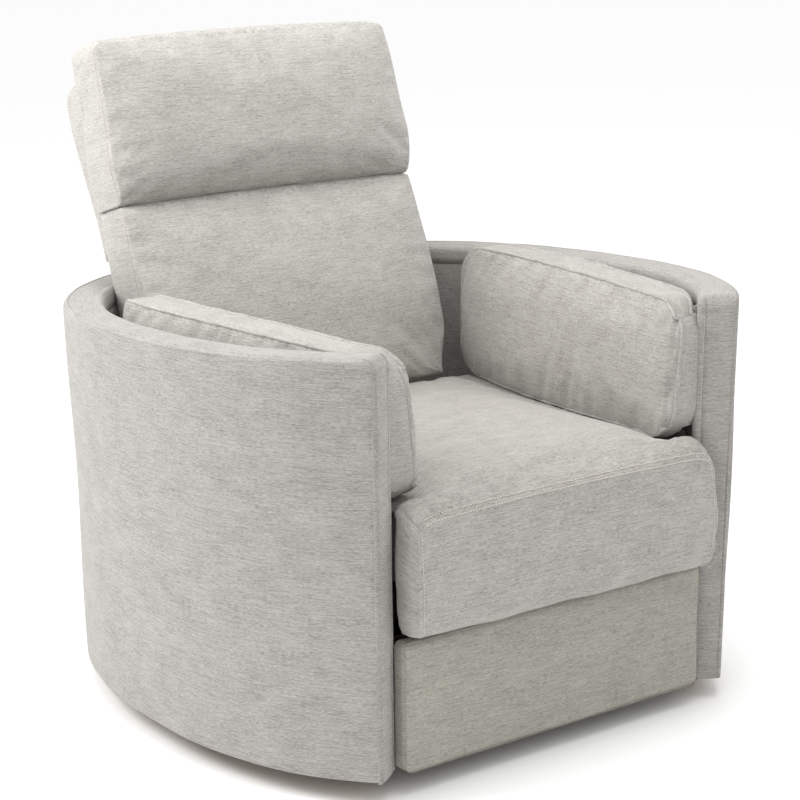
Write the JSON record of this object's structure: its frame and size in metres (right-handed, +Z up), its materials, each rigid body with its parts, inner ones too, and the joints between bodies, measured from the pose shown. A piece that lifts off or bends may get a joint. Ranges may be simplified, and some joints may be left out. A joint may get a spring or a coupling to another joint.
{
  "type": "swivel glider recliner chair",
  "caption": "Upholstered barrel armchair that swivels, glides and reclines, with a fold-out footrest and loose arm pillows.",
  "frame": {"origin": "on the floor, on the swivel axis, at the middle of the floor base", "axes": "+X to the sitter's left, +Y to the back of the chair, +Z up; the chair faces -Y"},
  "size_m": [0.9506, 0.9726, 1],
  "materials": {
    "barrel_fabric": "woven chenille, matt",
    "lining_fabric": "woven chenille, matt",
    "back_fabric": "woven chenille, matt",
    "seat_fabric": "woven chenille, matt",
    "pillow_fabric": "woven chenille, matt",
    "footrest_fabric": "woven chenille, matt",
    "frame_wood": "raw plywood and softwood",
    "base_steel": "black powder coat",
    "mechanism_steel": "black electrocoat",
    "bearing_steel": "black, greased",
    "bolt_zinc": "zinc plated",
    "spring_wire": "oil-tempered wire",
    "pull_plastic": "moulded, satin"
  },
  "bodies": {
    "base": {"floor_base": "base_steel", "bearing_race": "bearing_steel", "centre_bolt": "bolt_zinc"},
    "cradle": {"swivel_plate": "mechanism_steel", "cradle_side_left": "mechanism_steel", "cradle_side_right": "mechanism_steel", "cradle_tube_front": "mechanism_steel", "cradle_tube_rear": "mechanism_steel"},
    "links_front": {"glider_link_front_left": "mechanism_steel", "glider_link_front_right": "mechanism_steel"},
    "links_rear": {"glider_link_rear_left": "mechanism_steel", "glider_link_rear_right": "mechanism_steel"},
    "carriage": {"hanger_plate_left": "mechanism_steel", "hanger_plate_right": "mechanism_steel", "cross_rail_front": "frame_wood", "cross_rail_rear": "frame_wood", "frame_ring_bottom": "frame_wood", "frame_ring_seat": "frame_wood", "frame_ring_top": "frame_wood", "frame_post_front_left": "frame_wood", "frame_post_rear_left": "frame_wood", "frame_post_rear_right": "frame_wood", "frame_post_front_right": "frame_wood", "barrel_outer_cover": "barrel_fabric", "barrel_inner_cover": "lining_fabric", "rim_roll": "barrel_fabric", "arm_front_left": "barrel_fabric", "arm_front_right": "barrel_fabric", "inner_side_panel_left": "lining_fabric", "inner_side_panel_right": "lining_fabric", "arm_deck_left": "lining_fabric", "arm_deck_right": "lining_fabric", "arm_pillow_left": "pillow_fabric", "arm_pillow_right": "pillow_fabric", "slide_rail_left": "mechanism_steel", "slide_rail_right": "mechanism_steel"},
    "seat": {"seat_runner_left": "mechanism_steel", "seat_runner_right": "mechanism_steel", "seat_frame": "frame_wood", "seat_spring_grid": "spring_wire", "seat_cushion": "seat_fabric", "recline_bracket_left": "mechanism_steel", "recline_bracket_right": "mechanism_steel", "footrest_bracket_left": "mechanism_steel", "footrest_bracket_right": "mechanism_steel"},
    "back": {"headrest_cushion": "back_fabric", "lumbar_cushion": "back_fabric", "back_frame": "frame_wood", "back_spring_grid": "spring_wire", "outer_back_panel": "back_fabric"},
    "first_arms": {"footrest_torque_tube": "mechanism_steel", "footrest_first_arm_left": "mechanism_steel", "footrest_first_arm_right": "mechanism_steel"},
    "second_arms": {"footrest_second_arm_left": "mechanism_steel", "footrest_second_arm_right": "mechanism_steel"},
    "foot_panel": {"footrest_panel_bracket_left": "mechanism_steel", "footrest_panel_bracket_right": "mechanism_steel", "footrest_board": "frame_wood", "footrest_pad": "footrest_fabric"},
    "release": {"release_pull": "pull_plastic"}
  },
  "joints": [
    {"name": "swivel", "type": "hinge", "parent": "base", "child": "cradle", "pos_m": [0, 0, 0.05], "axis": [0, 0, 1], "continuous": true},
    {"name": "glide", "type": "hinge", "parent": "cradle", "child": "links_front", "pos_m": [0, -0.15, 0.205], "axis": [1, 0, 0], "range_deg": [-18, 18]},
    {"name": "glide_front_lower", "type": "hinge", "parent": "links_front", "child": "carriage", "pos_m": [0, -0.15, 0.085], "axis": [1, 0, 0], "range_deg": [-18, 18]},
    {"name": "glide_rear_upper", "type": "hinge", "parent": "cradle", "child": "links_rear", "pos_m": [0, 0.15, 0.205], "axis": [1, 0, 0], "range_deg": [-18, 18]},
    {"name": "seat_advance", "type": "slide", "parent": "carriage", "child": "seat", "axis": [0, -1, 0], "range_m": [0, 0.15]},
    {"name": "recline", "type": "hinge", "parent": "seat", "child": "back", "pos_m": [0, 0.255, 0.368], "axis": [-1, 0, 0], "range_deg": [0, 18]},
    {"name": "footrest", "type": "hinge", "parent": "seat", "child": "first_arms", "pos_m": [0, -0.235, 0.218], "axis": [-1, 0, 0], "range_deg": [0, 115]},
    {"name": "footrest_knee", "type": "hinge", "parent": "first_arms", "child": "second_arms", "pos_m": [0, -0.16104, 0.0594], "axis": [-1, 0, 0], "range_deg": [-92.51, 0]},
    {"name": "footrest_panel", "type": "hinge", "parent": "second_arms", "child": "foot_panel", "pos_m": [0, -0.335, 0.15], "axis": [-1, 0, 0], "range_deg": [0, 67.51]},
    {"name": "release", "type": "slide", "parent": "carriage", "child": "release", "axis": [0, 0, 1], "range_m": [0, 0.02], "stiffness_N_per_m": 200, "springref_m": -0.01}
  ],
  "couplings": [
    {"joint": "glide_front_lower", "follows": "glide", "ratio": -1},
    {"joint": "glide_rear_upper", "follows": "glide", "ratio": 1},
    {"joint": "seat_advance", "follows": "recline", "m_per_rad": 0.47723},
    {"joint": "footrest_knee", "follows": "footrest", "ratio": -0.80437},
    {"joint": "footrest_panel", "follows": "footrest", "ratio": 0.587}
  ]
}
